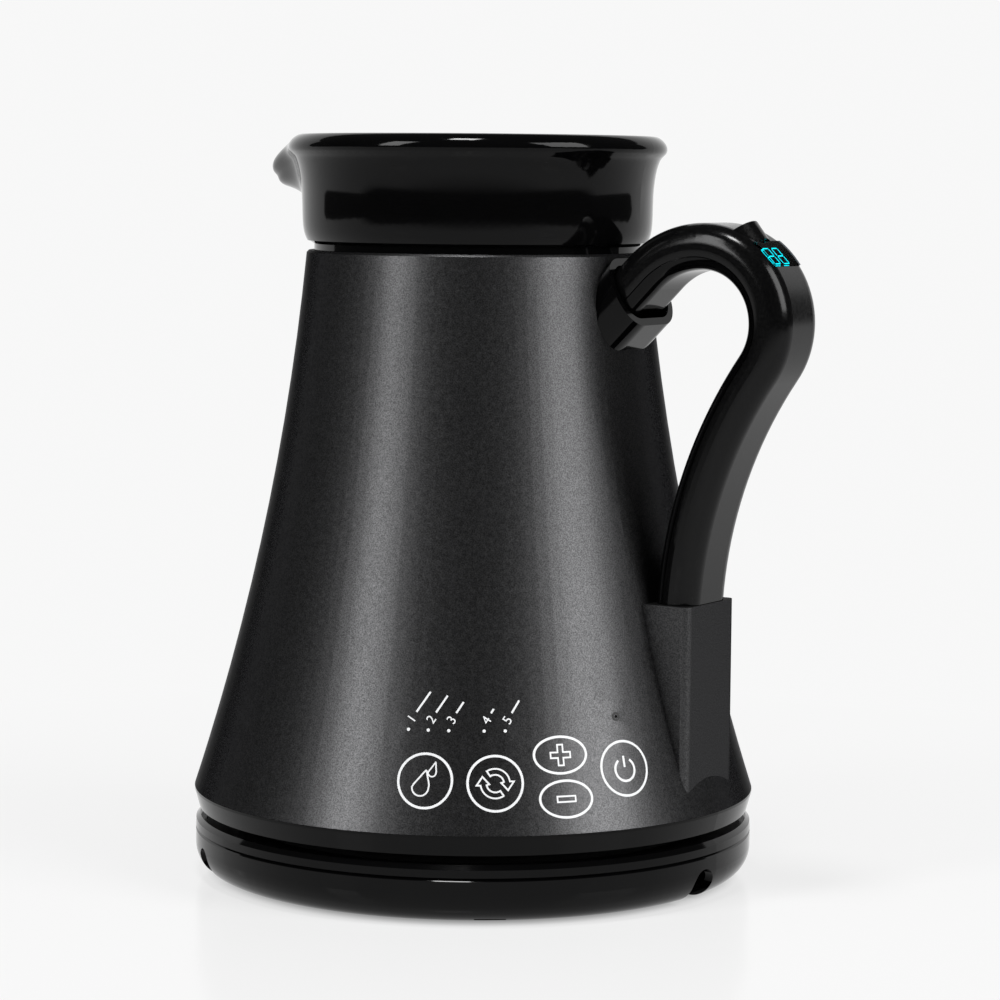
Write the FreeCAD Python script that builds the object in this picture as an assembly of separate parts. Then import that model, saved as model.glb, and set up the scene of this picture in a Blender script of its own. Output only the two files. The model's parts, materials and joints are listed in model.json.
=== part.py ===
import FreeCAD, Part

import math
import os

# Electric turkish coffee maker: a lift-off jug with a loop handle on a round power base.
# Frame: Z up along the jug's axis, origin on that axis at the plane the base stands on,
# handle towards +X, pouring beak towards -X. All lengths are in millimetres.

# Power base
base_radius = 74.7
base_seam_height = 12.4
base_top_height = 16.0
base_floor_height = 0.8
base_corner_radius = 7.4
base_top_corner = 1.2
base_wall = 2.2
well_outer_radius = 57.0
well_inner_radius = 38.0
well_depth = 10.2
well_ceiling = 1.8
hub_floor_height = 1.4
hub_floor_thickness = 1.8
notch_width = 9.0
notch_height = 9.2
notch_angles = (-4.3, -130.0)
cord_exit_angle = 130.0
seam_bevel = 0.45
drain_width = 8.0
drain_height = 1.0
drain_count = 5
drain_first_angle = -54.0
foot_ring_radius = 62.5
foot_ring_width = 3.8
foot_ring_thickness = 1.5
cord_radius = 3.2
gland_wall = 1.0
gland_overhang = 2.2

# Swivel ring between base and jug
ring_radius = 59.0
ring_width = 6.0
ring_top_height = 18.5
ring_groove_depth = 1.5

# Round connector in the middle
tower_radius = 14.0
tower_top_height = 26.5
slot_radii = (10.4, 5.9)
slot_width = 1.7
slot_depth = 9.0
centre_pin_radius = 1.2
centre_bore_radius = 2.0
contact_thickness = 0.4
shutter_outer_radius = 18.4
shutter_height = 4.4
shutter_gap = 0.1
spring_wire = 0.7
spring_turns = 2.5

# Jug shell
body_radius = 75.0
body_edge_height = 23.5
body_mid_radius = 57.34
body_mid_height = 89.15
body_top_radius = 45.4
body_top_height = 166.65
body_top_chamfer = 0.6
body_wall = 2.2
skirt_radius = 73.75
skirt_bottom_height = 18.3
cover_thickness = 2.2

# Vessel, collar and beak
vessel_bottom_height = 68.0
vessel_bottom_radius = 53.0
vessel_corner_radius = 6.0
vessel_mid_radius = 46.0
vessel_mid_height = 115.0
vessel_neck_radius = 38.9
vessel_neck_height = 157.0
vessel_top_height = 166.2
vessel_wall = 1.0
vessel_flange_radius = 40.4
vessel_flange_thickness = 1.2
collar_spigot_radius = 42.4
collar_spigot_bottom = 159.0
collar_groove_radius = 43.4
collar_foot_height = 169.2
collar_inner_radius = 43.2
collar_ledge_height = 168.0
collar_throat_radius = 38.6
collar_shelf_height = 176.0
beak_length = 15.6
beak_drop = 6.4
beak_spread = 15.5
azimuth_poles = 48

# Handle
handle_width = 21.5
handle_thickness = 11.9
handle_corner = 5.2
handle_wall = 2.0
handle_strip = 3.5
parting_gap = 0.25
apex_x = 71.7
apex_height = 169.2
left_arc_radius = 24.0
left_arc_angle = 45.0
right_arc_radius = 19.4
right_arc_angle = 125.2
leg_arc_radius = 119.6
handle_foot_overrun = 2.0
socket_run = 12.0
tenon_width = 17.0
tenon_length = 14.0

# Lower boss of the shell and upper socket of the handle
boss_face_x = 72.2
boss_width = 25.2
boss_top_height = 77.6
boss_bottom_height = 26.0
boss_corner = 2.0
boss_wall = 2.0
foot_screw_side = 6.2
cable_hole_height = 60.0
socket_width = 27.4
socket_thickness = 18.0
socket_corner = 8.4
socket_wall = 1.9
socket_mouth_x = 52.4
socket_mouth_height = 159.2
socket_rim_top = (46.0, 165.8)
socket_rim_low = (54.4, 148.8)
socket_foot_run = 14.0
socket_screw_height = 147.0

# Display in the handle
display_start_angle = 35.0
display_end_angle = 54.5
display_width = 14.0
hood_radius = 6.5
hood_rise = 0.7
hood_length = 7.5
hood_sink_angle = 17.0
hood_side = -1.0
lens_thickness = 1.3
lens_proud = 0.3
cable_offset = 1.3
cable_thickness = 0.6

# Touch keys behind the shell: azimuth in degrees and height
key_places = ((-67.4, 36.5), (-53.2, 36.1), (-39.3, 42.5), (-38.8, 31.9), (-24.8, 38.1))
lamp_places = (
    (-71.6, 48.8),
    (-67.3, 48.8),
    (-62.9, 48.8),
    (-55.4, 48.8),
    (-50.9, 48.8),
    (-25.1, 50.8),
)
lamp_hole_radius = 0.4
panel_azimuth = -48.2
panel_distance = 51.0
panel_width = 61.0
panel_bottom = 25.0
panel_top = 57.0
board_thickness = 1.6

# Heater and power board
heater_radius = 47.0
heater_thickness = 4.0
element_radius = 34.0
element_tube = 3.6
carrier_angles = (45.0, 135.0, 225.0)
carrier_width = 14.0
power_board_radius = 47.0
power_board_height = 34.0

clearance = 0.3
running_clearance = 0.08
seat_gap = 0.05
screw_radius = 1.5
screw_head_radius = 2.4
screw_head_height = 1.8
sunk_head_height = 0.95

UP = FreeCAD.Vector(0, 0, 1)
ORIGIN = FreeCAD.Vector(0, 0, 0)


def vec(x, y, z):
    return FreeCAD.Vector(x, y, z)


def around(radius, azimuth, height):
    """Point at a radius, an azimuth in degrees and a height."""
    angle = math.radians(azimuth)
    return vec(radius * math.cos(angle), radius * math.sin(angle), height)


def turned(shape, azimuth):
    """Copy of a shape turned about Z."""
    copy = shape.copy()
    copy.rotate(ORIGIN, UP, azimuth)
    return copy


def revolved(points):
    """Solid of revolution about Z of a closed outline of (radius, height) corners."""
    outline = [vec(r, 0, z) for r, z in points]
    wire = Part.makePolygon(outline + [outline[0]])
    return Part.Face(wire).revolve(ORIGIN, UP, 360)


def revolved_edges(edges):
    """Solid of revolution about Z of a closed chain of edges in the XZ plane."""
    return Part.Face(Part.Wire(edges)).revolve(ORIGIN, UP, 360)


def line(start, end):
    return Part.LineSegment(vec(start[0], 0, start[1]), vec(end[0], 0, end[1])).toShape()


def arc(start, middle, end):
    points = [vec(r, 0, z) for r, z in (start, middle, end)]
    return Part.Arc(*points).toShape()


def ring(inner, outer, bottom, top):
    return revolved(((inner, bottom), (outer, bottom), (outer, top), (inner, top)))


def disc(radius, bottom, top, centre=(0.0, 0.0)):
    return Part.makeCylinder(radius, top - bottom, vec(centre[0], centre[1], bottom))


def box(x_range, y_range, z_range):
    size = [b - a for a, b in (x_range, y_range, z_range)]
    return Part.makeBox(*size, vec(x_range[0], y_range[0], z_range[0]))


def fused(shapes):
    shapes = list(shapes)
    if len(shapes) == 1:
        return shapes[0]
    return shapes[0].multiFuse(shapes[1:]).removeSplitter()


def circle_through(a, b, c):
    """Centre and radius of the circle through three points of a plane."""
    (ax, ay), (bx, by), (cx, cy) = a, b, c
    d = 2 * (ax * (by - cy) + bx * (cy - ay) + cx * (ay - by))
    sa, sb, sc = ax * ax + ay * ay, bx * bx + by * by, cx * cx + cy * cy
    x = (sa * (by - cy) + sb * (cy - ay) + sc * (ay - by)) / d
    y = (sa * (cx - bx) + sb * (ax - cx) + sc * (bx - ax)) / d
    return x, y, math.hypot(ax - x, ay - y)


flank = circle_through(
    (body_radius, body_edge_height),
    (body_mid_radius, body_mid_height),
    (body_top_radius, body_top_height - body_top_chamfer),
)


def flank_radius(height, inset=0.0):
    """Outer radius of the jug's hollow-curved flank at a height, less an inset."""
    x, y, radius = flank
    return x - math.sqrt((radius + inset) ** 2 - (height - y) ** 2)


def screw(place, direction, length, head_radius=screw_head_radius, head_height=screw_head_height):
    """Cross-head screw whose head's underside is at the place."""
    head = Part.makeCone(head_radius, head_radius * 0.8, head_height, place, direction)
    shank = Part.makeCylinder(screw_radius, length, place, direction * -1)
    slots = []
    for turn in (0, 90):
        slot = Part.makeBox(head_radius * 1.1, 0.6, 0.9, vec(-head_radius * 0.55, -0.3, 0))
        slot.rotate(ORIGIN, UP, turn)
        slot.Placement = FreeCAD.Placement(
            place + direction * (head_height - 0.8),
            FreeCAD.Rotation(UP, direction),
        ).multiply(slot.Placement)
        slots.append(slot)
    return head.fuse(shank).cut(fused(slots))


# Power base

base_screw_places = [around(30.0, azimuth, 0) for azimuth in (45, 135, 225, 315)]
hub_floor_top = hub_floor_height + hub_floor_thickness
gland_height = hub_floor_top + cord_radius + 0.1
base_screw_seat = hub_floor_height + 1.0
cord_notch_height = gland_height + cord_radius + 0.1


def gland_rod(radius, start, length):
    """Rod along the cord's exit, from a run past the hub wall's inner side."""
    place = vec(well_inner_radius - base_wall + start, 0, gland_height)
    rod = Part.makeCylinder(radius, length - start, place, vec(1, 0, 0))
    return turned(rod, cord_exit_angle)


def make_base_bottom():
    """Lower shell with a cord well round a hub, an arched notch per cord exit and drain slots."""
    low = base_floor_height
    r_out = base_radius
    r_in = base_radius - base_wall
    corner = base_corner_radius
    bend = corner * math.sqrt(0.5)
    centre = (r_out - corner, low + corner)
    inner_corner = corner - base_wall
    bend_in = inner_corner * math.sqrt(0.5)
    ceiling = low + well_depth
    floor_top = low + base_wall
    outer_run = [
        line((r_out - seam_bevel, base_seam_height), (r_out, base_seam_height - seam_bevel)),
        line((r_out, base_seam_height - seam_bevel), (r_out, centre[1])),
        arc(
            (r_out, centre[1]),
            (centre[0] + bend, centre[1] - bend),
            (centre[0], low),
        ),
    ]
    chain = (
        (centre[0], low),
        (well_outer_radius, low),
        (well_outer_radius, ceiling),
        (well_inner_radius, ceiling),
        (well_inner_radius, hub_floor_height),
        (0, hub_floor_height),
        (0, hub_floor_top),
        (well_inner_radius - base_wall, hub_floor_top),
        (well_inner_radius - base_wall, ceiling + well_ceiling),
        (well_outer_radius + base_wall, ceiling + well_ceiling),
        (well_outer_radius + base_wall, floor_top),
        (centre[0], floor_top),
    )
    middle_run = [line(chain[i], chain[i + 1]) for i in range(len(chain) - 1)]
    inner_run = [
        arc(
            (centre[0], floor_top),
            (centre[0] + bend_in, centre[1] - bend_in),
            (r_in, centre[1]),
        ),
        line((r_in, centre[1]), (r_in, base_seam_height)),
        line((r_in, base_seam_height), (r_out - seam_bevel, base_seam_height)),
    ]
    shell = revolved_edges(outer_run + middle_run + inner_run)
    groove = ring(
        foot_ring_radius - foot_ring_width / 2 - 0.1,
        foot_ring_radius + foot_ring_width / 2 + 0.1,
        0,
        foot_ring_thickness,
    )
    cuts = [groove]
    arch = notch_width / 2
    notches = [(azimuth, notch_height) for azimuth in notch_angles]
    for azimuth, height in notches + [(cord_exit_angle, cord_notch_height)]:
        slot = box((well_outer_radius - 1, r_out + 1), (-arch, arch), (0, height - arch))
        top = Part.makeCylinder(
            arch,
            r_out + 2 - well_outer_radius,
            vec(well_outer_radius - 1, 0, height - arch),
            vec(1, 0, 0),
        )
        cuts += [turned(slot, azimuth), turned(top, azimuth)]
    for index in range(drain_count):
        azimuth = drain_first_angle + index * 360.0 / drain_count
        slot = box(
            (foot_ring_radius + foot_ring_width, r_out),
            (-drain_width / 2, drain_width / 2),
            (0, base_floor_height + drain_height),
        )
        cuts.append(turned(slot, azimuth))
    for place in base_screw_places:
        spot = (place.x, place.y)
        cuts.append(disc(screw_radius + 0.2, 0, hub_floor_top + 1, spot))
        cuts.append(disc(screw_head_radius + clearance, 0, base_screw_seat, spot))
    cuts.append(gland_rod(cord_radius + gland_wall + seat_gap, -1.0, base_wall + 1.0))
    return shell.cut(fused(cuts))


def make_base_top():
    """Upper shell: rim, flat top, groove for the swivel ring and guide hole for the shutter."""
    top = base_top_height
    under = top - base_wall
    groove_low = top - ring_groove_depth
    groove_in = ring_radius - ring_width / 2 - clearance
    groove_out = ring_radius + ring_width / 2 + clearance
    hole = shutter_outer_radius + clearance
    rim_in = base_radius - base_wall
    skirt_out = rim_in - clearance
    skirt_in = skirt_out - 1.6
    shell = revolved(
        (
            (base_radius - seam_bevel, base_seam_height),
            (base_radius, base_seam_height + seam_bevel),
            (base_radius - 0.1, top - base_top_corner),
            (base_radius - base_top_corner, top),
            (groove_out, top),
            (groove_out, groove_low),
            (groove_in, groove_low),
            (groove_in, top),
            (hole, top),
            (hole, under),
            (groove_in - base_wall, under),
            (groove_in - base_wall, groove_low - base_wall + 0.7),
            (groove_out + base_wall, groove_low - base_wall + 0.7),
            (groove_out + base_wall, under),
            (skirt_in, under),
            (skirt_in, base_seam_height - 1.6),
            (skirt_out, base_seam_height - 1.6),
            (skirt_out, base_seam_height),
        )
    )
    posts = []
    for place in base_screw_places:
        post = disc(3.6, hub_floor_top + seat_gap, under + 0.5, (place.x, place.y))
        hole_cut = disc(screw_radius - 0.1, hub_floor_top, under - 1.0, (place.x, place.y))
        posts.append(post.cut(hole_cut))
    return fused([shell] + posts)


def make_base_connector():
    """Male tower with two ring slots and a centre bore, on a flange inside the hub."""
    foot = hub_floor_top + seat_gap
    flange_top = base_top_height - base_wall - seat_gap
    body = revolved(
        (
            (0, foot),
            (17.5, foot),
            (17.5, foot + 2.4),
            (tower_radius, foot + 2.4),
            (tower_radius, flange_top - 2.4),
            (22.0, flange_top - 2.4),
            (22.0, flange_top),
            (tower_radius, flange_top),
            (tower_radius, tower_top_height - 1.0),
            (tower_radius - 1.0, tower_top_height),
            (0, tower_top_height),
        )
    )
    slot_floor = tower_top_height - slot_depth
    cuts = [disc(centre_bore_radius, slot_floor, tower_top_height + 1)]
    for radius in slot_radii:
        cuts.append(ring(radius - slot_width / 2, radius + slot_width / 2, slot_floor, tower_top_height + 1))
    cuts.append(ring(tower_radius - 5.4, tower_radius - 2.0, foot - 1, slot_floor - 4.0))
    return body.cut(fused(cuts))


def make_base_contacts():
    """Spring-metal rings in the tower's slots and a sleeve in its bore."""
    slot_floor = tower_top_height - slot_depth
    parts = []
    for radius in slot_radii:
        inner = radius - slot_width / 2
        parts.append(ring(inner, inner + contact_thickness, slot_floor, tower_top_height - 1.5))
    parts.append(
        ring(centre_bore_radius - contact_thickness, centre_bore_radius, slot_floor, tower_top_height - 1.5)
    )
    return Part.makeCompound(parts)


shutter_low = ring_top_height + 3.0 - shutter_height


def make_shutter():
    """Ring round the tower's mouth that the jug presses down."""
    bore = tower_radius + running_clearance
    return revolved(
        (
            (bore, shutter_low),
            (shutter_outer_radius, shutter_low),
            (shutter_outer_radius, shutter_low + shutter_height - 0.8),
            (shutter_outer_radius - 0.8, shutter_low + shutter_height),
            (bore, shutter_low + shutter_height),
        )
    )


def make_shutter_spring():
    """Coil spring under the shutter, round the tower."""
    radius = tower_radius + 2.0
    low = base_top_height - base_wall + spring_wire / 2
    height = shutter_low - low - spring_wire / 2 - seat_gap
    helix = Part.makeHelix(height / spring_turns, height, radius)
    circle = Part.Circle(vec(radius, 0, 0), vec(0, 1, 0), spring_wire / 2)
    coil = Part.Wire(helix.Edges).makePipeShell([Part.Wire(circle.toShape())], True, True)
    coil.translate(vec(0, 0, low))
    return coil


def make_foot_ring():
    inner = foot_ring_radius - foot_ring_width / 2
    return ring(inner, inner + foot_ring_width, 0, foot_ring_thickness)


def make_swivel_ring():
    """Loose ring that the jug stands on and turns with."""
    low = base_top_height - ring_groove_depth
    inner = ring_radius - ring_width / 2
    outer = ring_radius + ring_width / 2
    return revolved(
        (
            (inner, low),
            (outer, low),
            (outer, ring_top_height - 0.6),
            (outer - 0.6, ring_top_height),
            (inner + 0.6, ring_top_height),
            (inner, ring_top_height - 0.6),
        )
    )


def make_cord_gland():
    """Rubber bush for the cord, through the hub's wall and out into the well."""
    length = base_wall + gland_overhang
    return gland_rod(cord_radius + gland_wall, 0.0, length).cut(gland_rod(cord_radius, -1.0, length + 1.0))


def make_base_screws():
    return Part.makeCompound(
        [screw(vec(p.x, p.y, base_screw_seat), vec(0, 0, -1), 8.0) for p in base_screw_places]
    )


# Jug shell and its underside

cover_radius = skirt_radius - 2.0
cover_screw_places = [around(66.5, azimuth, 0) for azimuth in (60, 180, 300)]
cover_screw_seat = ring_top_height + 1.0


def flank_face_solid(inset, low, high):
    """Solid inside the flank's curve, moved in by an inset, between two heights."""
    middle = (low + high) / 2
    ends = [(flank_radius(z, inset), z) for z in (low, middle, high)]
    return revolved_edges(
        [
            arc(*ends),
            line(ends[2], (0, high)),
            line((0, high), (0, low)),
            line((0, low), ends[0]),
        ]
    )


def boss_block(inset, x_low, z_low, z_high):
    """Upright block of the lower boss with rounded outer corners, moved in by an inset."""
    half = boss_width / 2 - inset
    face = boss_face_x - inset
    block = box((x_low, face), (-half, half), (z_low, z_high))
    corner = max(boss_corner - inset, 0.3)
    upright = [
        edge
        for edge in block.Edges
        if abs(edge.Vertexes[0].X - face) < 1e-6
        and abs(edge.Vertexes[1].X - face) < 1e-6
        and abs(edge.Vertexes[0].Y - edge.Vertexes[1].Y) < 1e-6
    ]
    return block.makeFillet(corner, upright)


def make_body_shell():
    """Matte flank in one piece with the hollow boss that takes the handle's foot."""
    shoulder = body_top_height - body_top_chamfer
    full = flank_face_solid(0.0, body_edge_height, shoulder)
    cap = Part.makeCone(
        flank_radius(shoulder),
        flank_radius(shoulder) - body_top_chamfer,
        body_top_chamfer,
        vec(0, 0, shoulder),
    )
    boss = boss_block(0.0, 20.0, boss_bottom_height, boss_top_height)
    outside = fused([full, cap, boss])
    hollow = flank_face_solid(body_wall, body_edge_height - 1, shoulder - 1)
    neck = disc(flank_radius(shoulder, body_wall), shoulder - 2, body_top_height + 1)
    pocket = boss_block(boss_wall, 20.0, boss_bottom_height + 8, boss_top_height - 2.4)
    pocket = pocket.cut(flank_face_solid(0.0, boss_bottom_height, boss_top_height))
    tenon_hole = box(
        (tenon_x_low() - 0.2, tenon_x_high() + 0.2),
        (-tenon_width / 2 - 0.2, tenon_width / 2 + 0.2),
        (boss_top_height - 4, boss_top_height + 1),
    )
    cable_hole = box(
        (40, flank_radius(cable_hole_height) + 1.5),
        (-4.0, 4.0),
        (cable_hole_height - 2.0, cable_hole_height + 2.0),
    )
    shell = outside.cut(fused([hollow, neck])).cut(pocket).cut(tenon_hole).cut(cable_hole)
    holes = []
    for place, direction in handle_screw_seats() + socket_screw_seats():
        start = place - direction * (body_wall + 1.2)
        holes.append(Part.makeCylinder(screw_radius + 0.2, body_wall + 4, start, direction))
        holes.append(Part.makeCylinder(screw_head_radius + 0.3, 3.0, place + direction * -0.02, direction))
    lamp_holes = []
    for azimuth, height in lamp_places:
        start = around(flank_radius(height) - 5, azimuth, height)
        lamp_holes.append(Part.makeCylinder(lamp_hole_radius, 8, start, around(1, azimuth, 0)))
    return shell.cut(fused(holes)).cut(fused(lamp_holes))


def make_skirt():
    """Gloss ring under the flank, chamfered inward, with a spigot up into the shell and posts."""
    spigot_out = flank_radius(body_edge_height + 5, body_wall) - clearance
    spigot_in = spigot_out - 1.6
    seat = skirt_bottom_height + cover_thickness + 0.2 + seat_gap
    spigot_top = body_edge_height + 4.5
    wall = revolved(
        (
            (skirt_radius, skirt_bottom_height),
            (body_radius, body_edge_height - 0.7),
            (body_radius, body_edge_height - seat_gap),
            (spigot_out, body_edge_height - seat_gap),
            (spigot_out, spigot_top),
            (spigot_in, spigot_top),
            (spigot_in, seat),
            (cover_radius + 0.1, seat),
            (cover_radius + 0.1, skirt_bottom_height),
        )
    )
    within = disc(spigot_out - 0.2, seat, spigot_top)
    posts = [disc(3.4, seat, spigot_top, (p.x, p.y)).common(within) for p in cover_screw_places]
    return fused([wall] + posts)


def make_bottom_cover():
    """Flat underside plate with the hole for the connector, board posts and screw holes."""
    low = ring_top_height
    top = low + cover_thickness
    plate = ring(22.4, cover_radius, low, top)
    posts = []
    for azimuth in (90, 135, 200, 250, 20):
        place = around(40.0, azimuth, 0)
        posts.append(disc(3.2, top - 0.2, power_board_height - seat_gap, (place.x, place.y)))
    body = fused([plate] + posts)
    cuts = [disc(screw_radius + 0.2, low - 1, top + 1, (p.x, p.y)) for p in cover_screw_places]
    cuts += [disc(screw_head_radius + 0.3, low - 1, cover_screw_seat, (p.x, p.y)) for p in cover_screw_places]
    return body.cut(fused(cuts))


def make_cover_screws():
    down = vec(0, 0, -1)
    seats = [vec(p.x, p.y, cover_screw_seat) for p in cover_screw_places]
    return Part.makeCompound(
        [screw(seat, down, 8.5, screw_head_radius, sunk_head_height) for seat in seats]
    )


def make_jug_connector():
    """Female half: a cup that drops over the tower and presses the shutter down."""
    mouth = shutter_outer_radius + clearance + 0.3
    bore = tower_radius + clearance + 0.1
    step = shutter_low + shutter_height + shutter_gap
    roof = tower_top_height + 1.0
    top = roof + 3.0
    cover_top = ring_top_height + cover_thickness
    body = revolved(
        (
            (mouth, ring_top_height),
            (22.3, ring_top_height),
            (22.3, cover_top + seat_gap),
            (27.0, cover_top + seat_gap),
            (27.0, cover_top + 2.0),
            (22.0, cover_top + 2.0),
            (22.0, top),
            (0, top),
            (0, roof),
            (bore, roof),
            (bore, step),
            (mouth, step),
        )
    )
    cuts = [disc(centre_pin_radius, roof - 1, top + 1)]
    for radius in slot_radii:
        inner = radius - contact_thickness / 2 + 0.2
        cuts.append(ring(inner, inner + contact_thickness, roof - 1, roof + 1.5))
    return body.cut(fused(cuts))


def make_jug_contacts():
    """Centre pin and two rings that reach down into the tower's slots."""
    roof = tower_top_height + 1.0
    low = tower_top_height - slot_depth + 1.0
    parts = [disc(centre_pin_radius, low, roof + 6.0)]
    for radius in slot_radii:
        inner = radius - contact_thickness / 2 + 0.2
        parts.append(ring(inner, inner + contact_thickness, low, roof + 1.5))
    return Part.makeCompound(parts)


# Vessel and collar


def make_vessel():
    """Thin metal vessel, wide at the foot and narrow at the neck."""
    low = vessel_bottom_height
    foot = vessel_bottom_radius
    corner = vessel_corner_radius
    bend = corner * (1 - math.sqrt(0.5))

    def profile(inset):
        start = (foot - corner, low + inset)
        knee = (foot - bend - inset * math.sqrt(0.5), low + bend + inset * math.sqrt(0.5))
        wall_low = (foot - inset, low + corner)
        wall_mid = (vessel_mid_radius - inset, vessel_mid_height)
        neck = (vessel_neck_radius - inset, vessel_neck_height)
        return start, knee, wall_low, wall_mid, neck

    out = profile(0.0)
    inn = profile(vessel_wall)
    top = vessel_top_height
    edges = [
        line((0, low), out[0]),
        arc(out[0], out[1], out[2]),
        arc(out[2], out[3], out[4]),
        line(out[4], (vessel_neck_radius, top - vessel_flange_thickness)),
        line(
            (vessel_neck_radius, top - vessel_flange_thickness),
            (vessel_flange_radius, top - vessel_flange_thickness),
        ),
        line((vessel_flange_radius, top - vessel_flange_thickness), (vessel_flange_radius, top)),
        line((vessel_flange_radius, top), (vessel_neck_radius - vessel_wall, top)),
        line((vessel_neck_radius - vessel_wall, top), inn[4]),
        arc(inn[4], inn[3], inn[2]),
        arc(inn[2], inn[1], inn[0]),
        line(inn[0], (0, low + vessel_wall)),
        line((0, low + vessel_wall), (0, low)),
    ]
    return revolved_edges(edges)


def make_vessel_seal():
    return ring(
        vessel_neck_radius - 0.2,
        vessel_flange_radius,
        vessel_top_height,
        collar_ledge_height,
    )


def beak_bump(azimuth):
    """Bell curve that is 1 towards -X and dies out to both sides."""
    off = (azimuth - 180.0 + 180.0) % 360.0 - 180.0
    return math.exp(-((off / beak_spread) ** 2))


# Poles of the collar's section: radius, height, share of the beak's length, share of its drop.
def collar_section():
    inner = collar_inner_radius
    return (
        (45.2, collar_foot_height, 0.0, 0.0),
        (45.6, 169.9, 0.0, 0.0),
        (46.3, 171.6, 0.0, 0.0),
        (46.55, 175.5, 0.04, 0.0),
        (46.55, 179.5, 0.24, 0.0),
        (46.7, 183.6, 0.66, 0.2),
        (47.2, 187.4, 1.0, 0.7),
        (47.9, 189.9, 1.04, 0.9),
        (48.6, 191.6, 1.0, 1.0),
        (50.2, 192.6, 1.0, 1.0),
        (50.3, 194.8, 1.0, 1.0),
        (48.2, 197.0, 0.98, 1.0),
        (45.9, 197.4, 0.95, 1.0),
        (43.9, 196.0, 0.93, 1.0),
        (inner - 0.1, 193.0, 0.88, 0.95),
        (inner, 189.0, 0.76, 0.7),
        (inner, 184.5, 0.48, 0.3),
        (inner, 180.5, 0.16, 0.0),
        (inner, 178.0, 0.0, 0.0),
        (inner - 0.4, collar_shelf_height, 0.0, 0.0),
        (collar_throat_radius + 2.4, 172.4, 0.0, 0.0),
        (collar_throat_radius + 0.6, 170.6, 0.0, 0.0),
        (collar_throat_radius, collar_foot_height, 0.0, 0.0),
    )


def make_collar():
    """Gloss collar: a round wall with a rolled lip and a pouring beak, and a spigot below."""
    section = collar_section()
    step = 360.0 / azimuth_poles
    # Factor that puts a uniform cubic spline with this many poles on a circle.
    stretch = 3.0 / (2.0 + math.cos(math.radians(step)))
    poles = []
    for index in range(azimuth_poles):
        azimuth = index * step
        bump = beak_bump(azimuth)
        row = []
        for radius, height, reach, drop in section:
            r = (radius + beak_length * bump * reach) * stretch
            row.append(around(r, azimuth, height - beak_drop * bump * drop))
        poles.append(row)
    count = len(section)
    around_knots = [float(k) for k in range(azimuth_poles + 1)]
    along_knots = [float(k) for k in range(count - 2)]
    along_mults = [4] + [1] * (count - 4) + [4]
    surface = Part.BSplineSurface()
    surface.buildFromPolesMultsKnots(
        poles,
        [1] * (azimuth_poles + 1),
        along_mults,
        around_knots,
        along_knots,
        True,
        False,
        3,
        3,
    )
    skin = surface.toShape()
    rims = [e for e in skin.Edges if e.isClosed() and e.BoundBox.ZLength < 1e-6]
    rims.sort(key=lambda e: e.Length)
    foot = Part.Face([Part.Wire(rims[1]), Part.Wire(rims[0])])
    closed = Part.makeShell([skin, foot])
    closed.sewShape()
    wall = Part.Solid(closed)
    spigot_in = vessel_flange_radius + 0.3
    neck = revolved(
        (
            (spigot_in, collar_spigot_bottom),
            (collar_spigot_radius, collar_spigot_bottom),
            (collar_spigot_radius, body_top_height + seat_gap),
            (collar_groove_radius, body_top_height + seat_gap),
            (collar_groove_radius, collar_foot_height - 0.9),
            (45.0, collar_foot_height + 0.2),
            (collar_throat_radius + 0.3, collar_foot_height + 0.2),
            (collar_throat_radius + 0.3, collar_ledge_height),
            (spigot_in, collar_ledge_height),
        )
    )
    return wall.fuse(neck)


# Heater and electronics

heater_low = vessel_bottom_height - heater_thickness


def make_heater_plate():
    plate = disc(heater_radius, heater_low, vessel_bottom_height - seat_gap)
    groove = Part.makeTorus(element_radius, element_tube, vec(0, 0, heater_low - 0.6))
    return plate.cut(groove)


def make_heater_element():
    """Ring-shaped tube under the plate with its two cold ends turned down."""
    tube = Part.makeTorus(element_radius, element_tube - 0.05, vec(0, 0, heater_low - 0.6))
    gap = box((element_radius - 8, element_radius + 8), (-5, 5), (heater_low - 8, heater_low + 8))
    ends = []
    for side in (-1, 1):
        place = vec(math.sqrt(element_radius**2 - 25), side * 7.2, heater_low - 12.0)
        ends.append(Part.makeCylinder(2.2, 11.0, place))
    return fused([tube.cut(turned(gap, 110.0))] + [turned(end, 110.0) for end in ends])


def make_thermostats():
    parts = []
    for azimuth in (0.0, 180.0):
        place = around(15.0, azimuth, 0)
        cup = disc(8.2, heater_low - 4.6, heater_low - seat_gap, (place.x, place.y))
        body = disc(7.2, heater_low - 10.0, heater_low - 4.4, (place.x, place.y))
        tabs = []
        for offset in (-4.5, 4.5):
            x = place.x + offset
            tabs.append(box((x - 0.4, x + 0.4), (-3.0, 3.0), (heater_low - 17, heater_low - 9)))
        parts.append(fused([cup, body] + tabs))
    return Part.makeCompound(parts)


def make_sensor():
    """Temperature probe against the middle of the plate."""
    stem = disc(2.2, heater_low - 9.0, heater_low - seat_gap)
    flange = disc(4.0, heater_low - 2.0, heater_low - seat_gap - 0.6)
    return stem.fuse(flange)


carrier_foot = body_edge_height + 4.5


def make_carrier():
    """Ring under the heater on three legs that stand on the skirt's spigot."""
    high = heater_low + 2.0
    low = carrier_foot + seat_gap
    inner = heater_radius - 4.0
    body = ring(inner, 55.5, heater_low - 3.2, heater_low - seat_gap)
    lip = ring(heater_radius + 0.3, 49.6, heater_low - 1.0, high)
    foot_radius = flank_radius(low + 6, body_wall) - 2.5
    legs = []
    for azimuth in carrier_angles:
        half = carrier_width / 2
        upright = box((52.5, 55.0), (-half, half), (low, heater_low - 0.5))
        foot = box((52.5, foot_radius), (-half, half), (low, low + 2.5))
        legs.append(turned(upright.fuse(foot), azimuth))
    return fused([body, lip] + legs)


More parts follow.
